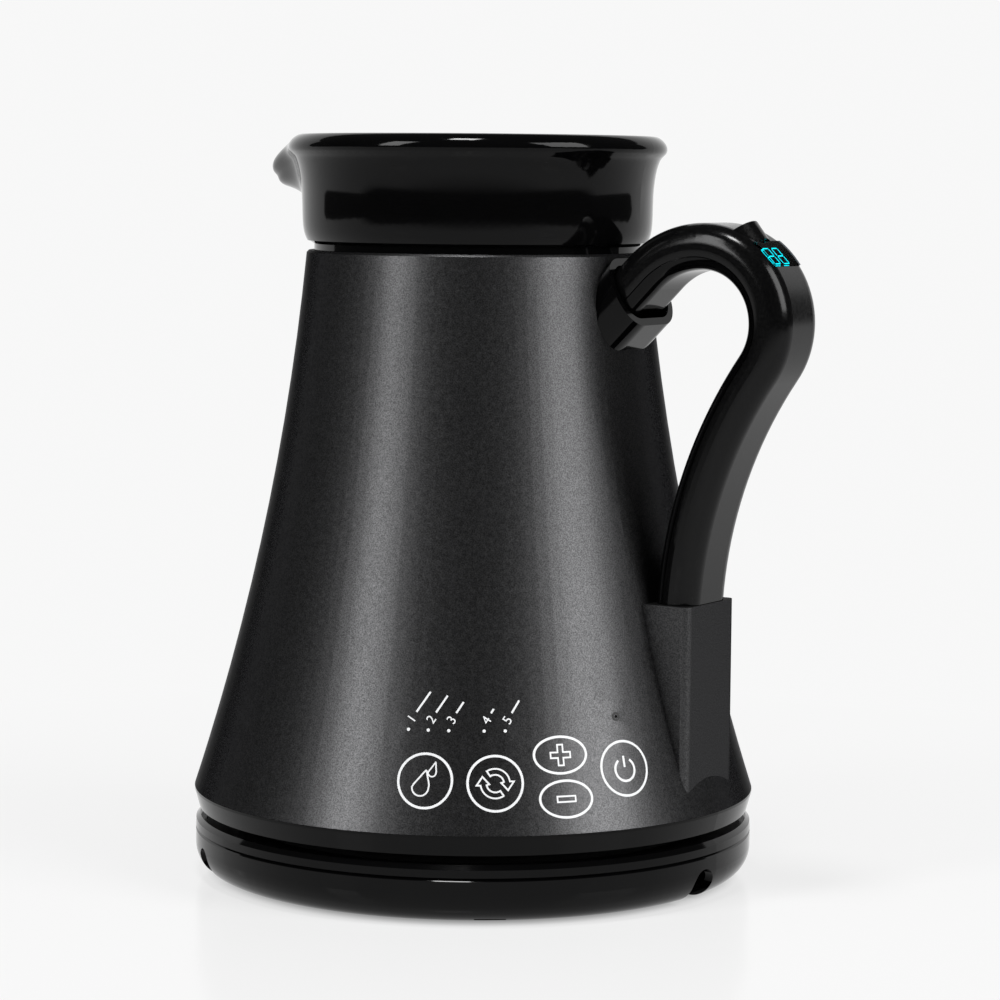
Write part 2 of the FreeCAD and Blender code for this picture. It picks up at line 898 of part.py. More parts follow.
def make_power_board():
    """Round board on the cover's posts, cut straight beside the key panel."""
    board = disc(power_board_radius, power_board_height, power_board_height + board_thickness)
    board = board.cut(disc(3.0, power_board_height - 1, power_board_height + 3))
    holes = []
    for azimuth in (90, 135, 200, 250, 20):
        place = around(40.0, azimuth, 0)
        holes.append(disc(1.2, power_board_height - 1, power_board_height + 3, (place.x, place.y)))
    return board.cut(fused(holes))


def make_relay():
    top = power_board_height + board_thickness + seat_gap
    return box((-30.0, -11.0), (-28.0, -13.0), (top, top + 15.0))


def make_transformer():
    top = power_board_height + board_thickness + seat_gap
    core = box((-32.0, -14.0), (8.0, 27.0), (top, top + 13.0))
    coil = box((-29.0, -17.0), (5.5, 29.5), (top + 2.5, top + 10.5))
    return core.fuse(coil)


def make_capacitor():
    top = power_board_height + board_thickness + seat_gap
    can = disc(6.0, top, top + 14.0, (8.0, -24.0))
    film = box((10.0, 27.0), (8.0, 16.0), (top, top + 12.0))
    return Part.makeCompound([can, film])


def make_terminals():
    top = power_board_height + board_thickness + seat_gap
    parts = []
    for index in range(4):
        y_low = -34.0 + index * 6.0
        block = box((24.0, 31.0), (y_low, y_low + 5.4), (top, top + 8.0))
        bore = disc(1.6, top + 4.0, top + 9.0, (27.5, y_low + 2.7))
        parts.append(block.cut(bore))
    return Part.makeCompound(parts)


def panel_box(depth_range, side_range, height_range):
    """Box in the key panel's frame: depth outward, side along it, height."""
    return turned(box(depth_range, side_range, height_range), panel_azimuth)


def panel_side(azimuth, height):
    """Sideways place on the panel that faces a key."""
    return flank_radius(height, body_wall) * math.sin(math.radians(azimuth - panel_azimuth))


def panel_reach(azimuth, height):
    """How far out the shell's inner wall is, square to the panel, at a key."""
    return flank_radius(height, body_wall) * math.cos(math.radians(azimuth - panel_azimuth))


def make_control_board():
    half = panel_width / 2
    return panel_box(
        (panel_distance, panel_distance + board_thickness), (-half, half), (panel_bottom, panel_top)
    )


def make_panel_frame():
    """Frame behind the control board that stands on the underside plate."""
    half = panel_width / 2
    back = panel_distance - seat_gap
    low = ring_top_height + cover_thickness + seat_gap
    frame = panel_box((back - 2.4, back), (-half, half), (low, panel_top))
    window = panel_box((back - 4, back + 1), (-half + 4, half - 4), (panel_bottom + 4, panel_top - 4))
    foot = panel_box((back - 2.4, back + 8.0), (-half + 6, half - 6), (low, low + 2.0))
    return fused([frame.cut(window), foot])


def toward_shell(radius, azimuth, height, inner_end):
    """Rod from the control board to the shell's inner wall, square to the panel."""
    side = panel_side(azimuth, height)
    slope = flank_radius(height - radius, body_wall) - flank_radius(height + radius, body_wall)
    reach = panel_reach(azimuth, height) - radius * 0.75 - slope / 2 - 0.1
    rod = Part.makeCylinder(radius, reach - inner_end, vec(inner_end, side, height), vec(1, 0, 0))
    return turned(rod, panel_azimuth)


def make_touch_pads():
    start = panel_distance + board_thickness + seat_gap
    return Part.makeCompound([toward_shell(3.0, a, z, start) for a, z in key_places])


def make_lamps():
    start = panel_distance + board_thickness + seat_gap
    parts = []
    for azimuth, height in lamp_places:
        side = panel_side(azimuth, height)
        chip = box((start, start + 1.0), (side - 1.2, side + 1.2), (height - 1.2, height + 1.2))
        parts.append(turned(chip, panel_azimuth))
    return Part.makeCompound(parts)


def make_light_pipes():
    start = panel_distance + board_thickness + 1.0 + 2 * seat_gap
    return Part.makeCompound([toward_shell(1.1, a, z, start) for a, z in lamp_places])


# Handle


def rounded_section(thickness, width, corner):
    """Closed wire of a rounded rectangle in the YZ plane, thickness along Z."""
    half_t = thickness / 2
    half_w = width / 2
    block = Part.makeBox(1, width, thickness, vec(0, -half_w, -half_t))
    block = block.makeFillet(corner, [e for e in block.Edges if abs(e.BoundBox.XLength - 1) < 1e-6])
    faces = [f for f in block.Faces if abs(f.CenterOfMass.x) < 1e-6]
    return faces[0]


def flat_section(low, high, half_width):
    """Rectangular face in the YZ plane from one offset to another along Z."""
    corners = [
        vec(0, -half_width, low),
        vec(0, half_width, low),
        vec(0, half_width, high),
        vec(0, -half_width, high),
    ]
    return Part.Face(Part.makePolygon(corners + [corners[0]]))


def left_end():
    """Centre and direction where the loop's left arc ends, seen going towards the jug."""
    angle = math.radians(left_arc_angle)
    x = apex_x - left_arc_radius * math.sin(angle)
    z = apex_height - left_arc_radius * (1 - math.cos(angle))
    return x, z, angle


def leg_geometry():
    """Start of the leg's arc, its centre and its sweep down to the boss."""
    angle = math.radians(right_arc_angle)
    x = apex_x + right_arc_radius * math.sin(angle)
    z = apex_height - right_arc_radius * (1 - math.cos(angle))
    centre_x = x + leg_arc_radius * math.sin(angle)
    centre_z = z + leg_arc_radius * math.cos(angle)
    rise = math.asin((boss_top_height - handle_foot_overrun - centre_z) / leg_arc_radius)
    sweep = right_arc_angle - 90.0 - math.degrees(rise)
    return centre_x, centre_z, sweep


def cable_foot_x():
    """Where the display's cable reaches the boss's top."""
    centre_x, centre_z, sweep = leg_geometry()
    radius = leg_arc_radius - cable_offset
    return centre_x - math.sqrt(radius**2 - (boss_top_height - centre_z) ** 2)


def tenon_x_low():
    """Side of the tenon towards the jug, clear of the flank down to the tenon's end."""
    return flank_radius(boss_top_height - tenon_length) + clearance


def tenon_x_high():
    return boss_face_x - boss_wall - clearance


def swept(face, left_run=None, right_from=0.0):
    """Solid of a section carried along the handle's route.

    left_run is the straight run past the left arc, or None to leave out everything left of
    the apex; right_from leaves out that many degrees of the right arc.
    """
    y_axis = vec(0, 1, 0)
    parts = []
    at_apex = face.copy()
    at_apex.translate(vec(apex_x, 0, apex_height))
    if left_run is not None:
        centre = vec(apex_x, 0, apex_height - left_arc_radius)
        parts.append(at_apex.revolve(centre, y_axis, -left_arc_angle))
        x, z, angle = left_end()
        end = face.copy()
        end.rotate(ORIGIN, y_axis, -left_arc_angle)
        end.translate(vec(x, 0, z))
        run = vec(-math.cos(angle), 0, -math.sin(angle)) * left_run
        parts.append(end.extrude(run))
    centre = vec(apex_x, 0, apex_height - right_arc_radius)
    start = at_apex.copy()
    start.rotate(centre, y_axis, right_from)
    parts.append(start.revolve(centre, y_axis, right_arc_angle - right_from))
    centre_x, centre_z, sweep = leg_geometry()
    turn_point = at_apex.copy()
    turn_point.rotate(centre, y_axis, right_arc_angle)
    parts.append(turn_point.revolve(vec(centre_x, 0, centre_z), y_axis, -sweep))
    return fused(parts)


handle_full = swept(rounded_section(handle_thickness, handle_width, handle_corner), socket_run)
handle_hollow = swept(
    rounded_section(
        handle_thickness - 2 * handle_wall,
        handle_width - 2 * handle_wall,
        handle_corner - handle_wall,
    ),
    socket_run,
)
handle_trim = fused(
    [
        flank_face_solid(-clearance, 60.0, body_top_height + 2.0),
        box((0, 100), (-30, 30), (40.0, boss_top_height + seat_gap)),
    ]
)
seam_offset = -handle_thickness / 2 + handle_strip
display_radius = right_arc_radius + handle_thickness / 2


def display_sector(inner, outer, half_width, start=display_start_angle, end=display_end_angle):
    """Curved slab over the loop's right arc."""
    section = flat_section(inner - right_arc_radius, outer - right_arc_radius, half_width)
    section.translate(vec(apex_x, 0, apex_height))
    centre = vec(apex_x, 0, apex_height - right_arc_radius)
    section.rotate(centre, vec(0, 1, 0), start)
    return section.revolve(centre, vec(0, 1, 0), end - start)


def arc_point(radius, angle, y):
    turn = math.radians(angle)
    return vec(
        apex_x + radius * math.sin(turn),
        y,
        apex_height - right_arc_radius + radius * math.cos(turn),
    )


def make_hood():
    """Low rounded hood on the jug's side of the window, sinking into the handle."""
    edge = display_start_angle - 0.2
    end = arc_point(display_radius + hood_rise - hood_radius, edge, hood_side)
    back = math.radians(edge + hood_sink_angle)
    direction = vec(-math.cos(back), 0, math.sin(back))
    rod = Part.makeCylinder(hood_radius, hood_length + 3.0, end - direction * 3.0, direction)
    past = display_sector(
        display_radius - 2 * hood_radius - 2, display_radius + 5, hood_radius + 3, edge, edge + 40
    )
    under = display_sector(1.0, right_arc_radius + handle_thickness / 2 - 1.0, hood_radius + 3, -60, 80)
    return rod.cut(past).cut(under)


def make_handle_outer():
    """Outer half of the handle with its display opening and the tenon that enters the boss."""
    inner_part = swept(
        flat_section(-handle_thickness, seam_offset, handle_width), socket_run + 0.5
    )
    shell = handle_full.cut(handle_hollow).cut(inner_part).cut(handle_trim)
    opening = display_sector(
        display_radius - handle_wall - 1, display_radius + 3, display_width / 2 + 0.1
    )
    shell = shell.cut(opening).fuse(make_hood())
    x_low = tenon_x_low()
    tenon = box(
        (x_low, tenon_x_high()),
        (-tenon_width / 2, tenon_width / 2),
        (boss_top_height - tenon_length, boss_top_height + 4.0),
    )
    cable_x = cable_foot_x()
    passage = box(
        (cable_x - 1.0, cable_x + 1.0),
        (-3.6, 3.6),
        (boss_top_height - tenon_length - 1, boss_top_height + 5.0),
    )
    shell = fused([shell, tenon.cut(passage)])
    holes = []
    for place, direction in handle_screw_seats():
        holes.append(Part.makeCylinder(screw_radius - 0.1, 9.0, place - direction * 9, direction))
    return shell.cut(fused(holes))


def make_handle_strip():
    """Inner half of the handle, parted from the outer half by a thin line."""
    outer_part = swept(
        flat_section(seam_offset - parting_gap, handle_thickness, handle_width), socket_run + 0.5
    )
    strip = handle_full.cut(handle_hollow).cut(outer_part).cut(handle_trim)
    x_low = tenon_x_low()
    clear = box(
        (x_low - 0.3, tenon_x_high() + 0.3),
        (-tenon_width / 2 - 0.3, tenon_width / 2 + 0.3),
        (boss_top_height - 1, boss_top_height + 4.3),
    )
    return strip.cut(clear)


def along_socket(face, start, length):
    """Extrusion along the socket's axis of a section face, from a run below its mouth."""
    angle = math.radians(left_arc_angle)
    direction = vec(-math.cos(angle), 0, -math.sin(angle))
    moved = face.copy()
    moved.rotate(ORIGIN, vec(0, 1, 0), -left_arc_angle)
    moved.translate(vec(socket_mouth_x, 0, socket_mouth_height) + direction * start)
    return moved.extrude(direction * length)


def beyond_socket_rim():
    """Space past the slanting plane that the socket's rim lies in."""
    run_x = socket_rim_low[0] - socket_rim_top[0]
    run_z = socket_rim_low[1] - socket_rim_top[1]
    above = (socket_rim_top[0] - run_x, socket_rim_top[1] - run_z)
    below = (socket_rim_low[0] + run_x, socket_rim_low[1] + run_z)
    outline = [above, below, (below[0] + 60, below[1]), (above[0] + 60, above[1])]
    corners = [vec(x, -30, z) for x, z in outline]
    face = Part.Face(Part.makePolygon(corners + [corners[0]]))
    return face.extrude(vec(0, 60, 0))


def make_handle_socket():
    """Socket on the jug's flank that the top of the handle plugs into."""
    block = along_socket(
        rounded_section(socket_thickness, socket_width, socket_corner), -2.0, socket_foot_run + 22
    )
    block = block.cut(beyond_socket_rim())
    pocket = along_socket(
        rounded_section(
            socket_thickness - 2 * socket_wall, socket_width - 2 * socket_wall, socket_corner - socket_wall
        ),
        -3.0,
        11.5,
    )
    inside = flank_face_solid(-seat_gap, 60.0, body_top_height - body_top_chamfer)
    above = box((20, 90), (-30, 30), (body_top_height - 0.4, 200))
    clear_handle = swept(
        rounded_section(handle_thickness + 0.2, handle_width + 0.2, handle_corner), socket_run + 0.1
    )
    socket = block.cut(pocket).cut(inside).cut(above).cut(clear_handle)
    holes = []
    for place, direction in socket_screw_seats():
        holes.append(Part.makeCylinder(screw_radius - 0.1, 5.0, place - direction * 6.5, direction))
    socket = socket.cut(fused(holes))
    return max(socket.Solids, key=lambda solid: solid.Volume)


def handle_screw_seats():
    """Inner ends of the two screws that hold the handle's foot, and the way their heads face."""
    seats = []
    height = boss_top_height - tenon_length / 2
    for side in (-foot_screw_side, foot_screw_side):
        x_wall = math.sqrt((flank_radius(height, body_wall)) ** 2 - side**2) - 0.2
        seats.append((vec(x_wall, side, height), vec(-1, 0, 0)))
    return seats


def socket_screw_seats():
    """Inner ends of the screws that hold the upper socket."""
    seats = []
    for side in (-6.0, 6.0):
        height = socket_screw_height
        x_wall = math.sqrt(flank_radius(height, body_wall) ** 2 - side**2) - 0.2
        seats.append((vec(x_wall, side, height), vec(-1, 0, 0)))
    return seats


def make_handle_screws():
    head = screw_head_radius
    parts = [screw(place, direction, 9.5, head) for place, direction in handle_screw_seats()]
    parts += [screw(place, direction, 6.0, head) for place, direction in socket_screw_seats()]
    return Part.makeCompound(parts)


def make_lens():
    inner = display_radius + lens_proud - lens_thickness
    margin = 0.25
    return display_sector(
        inner,
        display_radius + lens_proud,
        display_width / 2,
        display_start_angle + margin,
        display_end_angle - margin,
    )


def display_slab(bottom, top, length, width):
    """Flat slab square to the window's middle, between two radii of the arc."""
    middle = (display_start_angle + display_end_angle) / 2
    slab = Part.makeBox(length, width, top - bottom, vec(-length / 2, -width / 2, bottom))
    slab.rotate(ORIGIN, vec(0, 1, 0), middle)
    slab.translate(vec(apex_x, 0, apex_height - right_arc_radius))
    return slab


def make_digit_module():
    top = display_radius + lens_proud - lens_thickness - 0.45
    return display_slab(top - 1.8, top, 7.4, 12.6)


def make_display_board():
    top = display_radius + lens_proud - lens_thickness - 2.3
    return display_slab(top - 1.0, top, 9.5, 15.0)


def make_display_cable():
    """Flat cable from the display board down inside the handle and into the shell."""
    half = cable_thickness / 2
    start = (display_start_angle + display_end_angle) / 2
    run = swept(flat_section(cable_offset - half, cable_offset + half, 3.0), None, start)
    x = cable_foot_x()
    low = cable_hole_height - 0.3
    end_x = flank_radius(cable_hole_height, body_wall) - 5.0
    drop = box((x - half, x + half), (-3.0, 3.0), (low, boss_top_height + 0.2))
    inward = box((end_x, x + half), (-3.0, 3.0), (low, low + cable_thickness))
    tail = box((end_x, end_x + cable_thickness), (-3.0, 3.0), (low - 12.0, low + cable_thickness))
    plug = box((end_x - 1.5, end_x + 2.1), (-4.5, 4.5), (low - 16.0, low - 11.0))
    return fused([run, drop, inward, tail, plug])


def make_board_screws():
    half = panel_width / 2 - 2.2
    parts = []
    outward = around(1, panel_azimuth, 0)
    for side in (-half, half):
        for height in (panel_bottom + 2.5, panel_top - 2.5):
            place = vec(panel_distance + board_thickness + seat_gap, side, height)
            place = FreeCAD.Rotation(UP, panel_azimuth).multVec(place)
            parts.append(screw(place, outward, 3.2, 1.9))
    return Part.makeCompound(parts)


def cleared_for(shape, screws):
    """Shape with the screws' own space taken out of it."""
    return shape.cut(screws)


def build():
    base_screws = make_base_screws()
    cover_screws = make_cover_screws()
    handle_screws = make_handle_screws()
    board_screws = make_board_screws()
    nodes = {
        "base_bottom_shell": cleared_for(make_base_bottom(), base_screws),
        "base_top_shell": cleared_for(make_base_top(), base_screws),
        "base_foot_ring": make_foot_ring(),
        "base_connector": make_base_connector(),
        "base_contacts": make_base_contacts(),
        "base_screws": base_screws,
        "cord_gland": make_cord_gland(),
        "connector_shutter": make_shutter(),
        "shutter_spring": make_shutter_spring(),
        "swivel_ring": make_swivel_ring(),
        "body_shell": make_body_shell(),
        "skirt_ring": cleared_for(make_skirt(), cover_screws),
        "bottom_cover": make_bottom_cover(),
        "cover_screws": cover_screws,
        "jug_connector": make_jug_connector(),
        "jug_contacts": make_jug_contacts(),
        "vessel": make_vessel(),
        "vessel_seal": make_vessel_seal(),
        "collar": make_collar(),
        "heater_plate": make_heater_plate(),
        "heater_element": make_heater_element(),
        "thermostats": make_thermostats(),
        "temperature_sensor": make_sensor(),
        "heater_carrier": make_carrier(),
        "power_board": make_power_board(),
        "relay": make_relay(),
        "transformer": make_transformer(),
        "capacitors": make_capacitor(),
        "terminal_blocks": make_terminals(),
        "control_board": cleared_for(make_control_board(), board_screws),
        "panel_frame": cleared_for(make_panel_frame(), board_screws),
        "board_screws": board_screws,
        "touch_pads": make_touch_pads(),
        "key_lamps": make_lamps(),
        "light_pipes": make_light_pipes(),
        "handle_outer": cleared_for(make_handle_outer(), handle_screws),
        "handle_strip": make_handle_strip(),
        "handle_socket": cleared_for(make_handle_socket(), handle_screws),
        "handle_screws": handle_screws,
        "display_lens": make_lens(),
        "digit_module": make_digit_module(),
        "display_board": make_display_board(),
        "display_cable": make_display_cable(),
    }
    return nodes


os.makedirs("parts", exist_ok=True)
for node, shape in build().items():
    solids = len(shape.Solids)
    print(f"{node:20s} solids {solids} volume {shape.Volume:12.2f} valid {shape.isValid()}")
    shape.exportStep(f"parts/{node}.step")
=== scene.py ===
import json
import math

import bmesh
import bpy
from mathutils import Matrix, Vector
from mathutils.bvhtree import BVHTree


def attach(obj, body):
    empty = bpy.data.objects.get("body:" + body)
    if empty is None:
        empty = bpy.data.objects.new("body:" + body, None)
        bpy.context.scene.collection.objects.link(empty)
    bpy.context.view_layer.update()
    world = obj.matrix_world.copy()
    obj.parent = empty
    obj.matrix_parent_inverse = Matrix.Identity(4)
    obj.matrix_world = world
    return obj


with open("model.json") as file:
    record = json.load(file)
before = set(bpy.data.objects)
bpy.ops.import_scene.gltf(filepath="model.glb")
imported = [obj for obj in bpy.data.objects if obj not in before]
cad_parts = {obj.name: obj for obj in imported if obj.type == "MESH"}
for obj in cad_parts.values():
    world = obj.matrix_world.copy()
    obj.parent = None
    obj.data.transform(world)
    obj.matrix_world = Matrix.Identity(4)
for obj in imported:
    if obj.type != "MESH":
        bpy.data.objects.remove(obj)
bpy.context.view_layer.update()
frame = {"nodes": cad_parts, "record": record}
nodes = frame["nodes"]
MM = 0.001

# Camera, seen from the front on the handle's side: angles in radians, focal length in pixels
VIEW_AZIMUTH = math.radians(32.4)
CAMERA_DISTANCE = 878.713 * MM
CAMERA_HEIGHT = 186.33 * MM
CAMERA_PITCH = 0.0979127
CAMERA_YAW = 0.0074692
CAMERA_ROLL = 0.0084365
FOCAL_PIXELS = 3292.02
PICTURE_WIDTH = 1000
SENSOR_MM = 36.0
NEAREST = 0.05
FARTHEST = 50.0

# Jug flank, in millimetres: the circle that its hollow curve lies on goes through these points
FLANK_POINTS = ((75.0, 23.5), (57.34, 89.15), (45.4, 166.05))

# Handle, in millimetres and degrees
APEX_X, APEX_Z = 71.7, 169.2
ARC_RADIUS = 19.4
DISPLAY_ANGLE = 44.75
DISPLAY_TOP = 23.9


def from_view(side, away, height):
    """Point given to the right of the view, away from the camera and up, in metres."""
    c, s = math.cos(VIEW_AZIMUTH), math.sin(VIEW_AZIMUTH)
    return Vector((side * c - away * s, side * s + away * c, height))


def make_camera():
    data = bpy.data.cameras.new("camera")
    data.sensor_width = SENSOR_MM
    data.lens = FOCAL_PIXELS * SENSOR_MM / PICTURE_WIDTH
    data.clip_start = NEAREST
    data.clip_end = FARTHEST
    camera = bpy.data.objects.new("camera", data)
    bpy.context.scene.collection.objects.link(camera)
    pitch, yaw, roll = CAMERA_PITCH, CAMERA_YAW, CAMERA_ROLL
    ahead = from_view(
        math.sin(yaw) * math.cos(pitch), math.cos(yaw) * math.cos(pitch), -math.sin(pitch)
    )
    level = from_view(math.cos(yaw), -math.sin(yaw), 0.0)
    up = level.cross(ahead)
    right = math.cos(roll) * level + math.sin(roll) * up
    top = -math.sin(roll) * level + math.cos(roll) * up
    turn = Matrix((right, top, -ahead)).transposed().to_4x4()
    camera.matrix_world = Matrix.Translation(from_view(0, -CAMERA_DISTANCE, CAMERA_HEIGHT)) @ turn
    bpy.context.scene.camera = camera


# Materials


def shader(name):
    """New material with its node tree and its surface shader."""
    material = bpy.data.materials.new(name)
    material.use_nodes = True
    tree = material.node_tree
    return material, tree, tree.nodes["Principled BSDF"]


def noise(tree, scale, detail=3.0, stretch=(1, 1, 1)):
    """Noise over each piece's own coordinates; the scale is in features per metre."""
    place = tree.nodes.new("ShaderNodeTexCoord")
    mapping = tree.nodes.new("ShaderNodeMapping")
    mapping.inputs["Scale"].default_value = stretch
    texture = tree.nodes.new("ShaderNodeTexNoise")
    texture.inputs["Scale"].default_value = scale
    texture.inputs["Detail"].default_value = detail
    tree.links.new(place.outputs["Object"], mapping.inputs["Vector"])
    tree.links.new(mapping.outputs["Vector"], texture.inputs["Vector"])
    return texture.outputs["Fac"]


def ranged(tree, value, low, high, start=0.3, end=0.7):
    """A value between start and end, stretched to run from low to high."""
    node = tree.nodes.new("ShaderNodeMapRange")
    node.inputs["From Min"].default_value = start
    node.inputs["From Max"].default_value = end
    node.inputs["To Min"].default_value = low
    node.inputs["To Max"].default_value = high
    tree.links.new(value, node.inputs["Value"])
    return node.outputs["Result"]


def two_tone(tree, value, dark, light):
    """Colour that goes from dark to light over the middle of a noise's range."""
    ramp = tree.nodes.new("ShaderNodeValToRGB")
    ramp.color_ramp.elements[0].position = 0.3
    ramp.color_ramp.elements[1].position = 0.7
    ramp.color_ramp.elements[0].color = (*dark, 1)
    ramp.color_ramp.elements[1].color = (*light, 1)
    tree.links.new(value, ramp.inputs["Fac"])
    return ramp.outputs["Color"]


def bump(tree, value, strength, depth_mm):
    node = tree.nodes.new("ShaderNodeBump")
    node.inputs["Strength"].default_value = strength
    node.inputs["Distance"].default_value = depth_mm * MM
    tree.links.new(value, node.inputs["Height"])
    return node.outputs["Normal"]


def finish_of(
    name, colour, roughness, grain=900.0, vary=0.12, depth=0.01, metallic=0.0, stretch=(1, 1, 1)
):
    """Material with a fine grain, a little uneven in colour and gloss."""
    material, tree, surface = shader(name)
    surface.inputs["Metallic"].default_value = metallic
    fine = noise(tree, grain, 2.0, stretch)
    broad = noise(tree, 60.0, 3.0)
    dark = [c * (1 - vary) for c in colour]
    light = [min(1.0, c * (1 + vary)) for c in colour]
    tree.links.new(two_tone(tree, broad, dark, light), surface.inputs["Base Color"])
    tree.links.new(
        ranged(tree, broad, roughness * 0.9, min(1.0, roughness * 1.1)), surface.inputs["Roughness"]
    )
    tree.links.new(bump(tree, fine, 0.4, depth), surface.inputs["Normal"])
    return material


def gloss_black(name, roughness, colour=0.0012):
    """Polished black plastic with the faint waviness of a moulded face."""
    material, tree, surface = shader(name)
    broad = noise(tree, 35.0, 2.0)
    dust = noise(tree, 2400.0, 1.0)
    low = (colour * 0.8, colour * 0.8, colour * 0.85)
    high = (colour * 1.25, colour * 1.25, colour * 1.35)
    tree.links.new(two_tone(tree, broad, low, high), surface.inputs["Base Color"])
    tree.links.new(
        ranged(tree, dust, roughness * 0.85, roughness * 1.2), surface.inputs["Roughness"]
    )
    tree.links.new(bump(tree, broad, 0.12, 0.05), surface.inputs["Normal"])
    surface.inputs["IOR"].default_value = 1.46
    surface.inputs["Specular IOR Level"].default_value = 0.15
    return material


def satin_black(name):
    """Black plastic with a fine satin grain that spreads its highlights."""
    material, tree, surface = shader(name)
    grain = noise(tree, 1500.0, 2.0)
    tree.links.new(
        two_tone(tree, grain, (0.0015, 0.0015, 0.0016), (0.003, 0.003, 0.0031)),
        surface.inputs["Base Color"],
    )
    tree.links.new(ranged(tree, grain, 0.13, 0.2), surface.inputs["Roughness"])
    tree.links.new(bump(tree, grain, 0.15, 0.008), surface.inputs["Normal"])
    surface.inputs["IOR"].default_value = 1.46
    surface.inputs["Specular IOR Level"].default_value = 0.2
    return material


def flake_paint(name):
    """Matte black paint with fine metal grain."""
    material, tree, surface = shader(name)
    surface.inputs["Metallic"].default_value = 1.0
    surface.inputs["Specular Tint"].default_value = (0.25, 0.25, 0.25, 1)
    flakes = noise(tree, 3200.0, 1.0)
    mottle = noise(tree, 900.0, 2.0)
    tree.links.new(
        two_tone(tree, flakes, (0.04, 0.04, 0.041), (0.095, 0.095, 0.097)),
        surface.inputs["Base Color"],
    )
    tree.links.new(ranged(tree, mottle, 0.33, 0.39), surface.inputs["Roughness"])
    tree.links.new(bump(tree, flakes, 0.3, 0.01), surface.inputs["Normal"])
    return material


def white_ink(name):
    return finish_of(name, (0.78, 0.79, 0.8), 0.45, grain=2500.0, vary=0.03, depth=0.004)


def lit(name, colour, strength):
    """Face that gives off its own light."""
    material, tree, surface = shader(name)
    surface.inputs["Base Color"].default_value = (*colour, 1)
    surface.inputs["Emission Color"].default_value = (*colour, 1)
    glow = noise(tree, 900.0, 1.0)
    tree.links.new(
        ranged(tree, glow, strength * 0.94, strength * 1.06), surface.inputs["Emission Strength"]
    )
    return material


def smoked(name, colour, roughness):
    """Tinted clear plastic, too thin to bend what lies behind it."""
    material, tree, surface = shader(name)
    surface.inputs["Base Color"].default_value = (*colour, 1)
    surface.inputs["Transmission Weight"].default_value = 1.0
    surface.inputs["IOR"].default_value = 1.03
    broad = noise(tree, 300.0, 1.0)
    tree.links.new(
        ranged(tree, broad, roughness * 0.8, roughness * 1.2), surface.inputs["Roughness"]
    )
    return material


def board(name):
    """Lacquered circuit board with the ghost of its tracks."""
    material, tree, surface = shader(name)
    place = tree.nodes.new("ShaderNodeTexCoord")
    tracks = tree.nodes.new("ShaderNodeTexVoronoi")
    tracks.distance = "CHEBYCHEV"
    tracks.inputs["Scale"].default_value = 260.0
    tree.links.new(place.outputs["Object"], tracks.inputs["Vector"])
    tree.links.new(
        two_tone(tree, tracks.outputs["Distance"], (0.008, 0.11, 0.045), (0.02, 0.2, 0.08)),
        surface.inputs["Base Color"],
    )
    surface.inputs["Roughness"].default_value = 0.28
    tree.links.new(bump(tree, tracks.outputs["Distance"], 0.2, 0.03), surface.inputs["Normal"])
    return material


def brushed(name, colour, roughness, stretch=(1, 1, 30)):
    return finish_of(
        name, colour, roughness, grain=500.0, vary=0.06, depth=0.004, metallic=1.0, stretch=stretch
    )


SLOT_MATERIALS = {
    "gloss_black": gloss_black("gloss_black", 0.07),
    "matte_grey_metal": flake_paint("matte_grey_metal"),
    "black_plastic": finish_of("black_plastic", (0.011, 0.011, 0.012), 0.42),
    "grey_plastic": finish_of("grey_plastic", (0.2, 0.2, 0.21), 0.5),
    "white_plastic": finish_of("white_plastic", (0.72, 0.72, 0.69), 0.45, vary=0.04),
    "black_rubber": finish_of(
        "black_rubber", (0.014, 0.014, 0.014), 0.75, grain=1500.0, depth=0.03
    ),
    "clear_rubber": finish_of("clear_rubber", (0.5, 0.5, 0.47), 0.35, vary=0.05),
    "contact_brass": brushed("contact_brass", (0.72, 0.52, 0.22), 0.28),
    "steel": brushed("steel", (0.58, 0.58, 0.6), 0.3),
    "screw_steel": brushed("screw_steel", (0.42, 0.42, 0.44), 0.35, stretch=(6, 1, 1)),
    "vessel_coating": brushed("vessel_coating", (0.33, 0.33, 0.34), 0.32, stretch=(1, 1, 12)),
    "heater_aluminium": finish_of("heater_aluminium", (0.6, 0.6, 0.61), 0.4, metallic=1.0),
    "board_green": board("board_green"),
    "component_black": finish_of("component_black", (0.02, 0.02, 0.022), 0.4),
    "component_blue": finish_of("component_blue", (0.03, 0.08, 0.28), 0.35),
    "lamp_white": finish_of("lamp_white", (0.8, 0.8, 0.74), 0.3, vary=0.03),
    "clear_plastic": smoked("clear_plastic", (0.9, 0.92, 0.95), 0.05),
    "smoked_lens": smoked("smoked_lens", (0.1, 0.11, 0.12), 0.03),
}


def dress_nodes():
    """The record's slots give every carried node its material."""
    for row in frame["record"]["subparts"]:
        name = row["node"]
        mesh = nodes[name].data
        mesh.materials.clear()
        mesh.materials.append(SLOT_MATERIALS[row["material_slot"]])
    nodes["handle_outer"].material_slots[0].material = satin_black("satin_black")


# Printed marks on the flank


def circle_through(points):
    """Centre and radius of the circle through three points."""
    (ax, ay), (bx, by), (cx, cy) = points
    d = 2 * (ax * (by - cy) + bx * (cy - ay) + cx * (ay - by))
    sa, sb, sc = ax * ax + ay * ay, bx * bx + by * by, cx * cx + cy * cy
    x = (sa * (by - cy) + sb * (cy - ay) + sc * (ay - by)) / d
    y = (sa * (cx - bx) + sb * (ax - cx) + sc * (bx - ax)) / d
    return x, y, math.hypot(ax - x, ay - y)


FLANK = circle_through(FLANK_POINTS)
INK_PROUD = 0.04
LONGEST_RUN = 0.8
OUTSIDE = 0.2


def flank_radius(height):
    x, y, radius = FLANK
    return x - math.sqrt(radius**2 - (height - y) ** 2)


def flank_tilt(height):
    """Lean of the flank from upright at a height."""
    x, y, radius = FLANK
    return math.asin((y - height) / radius)


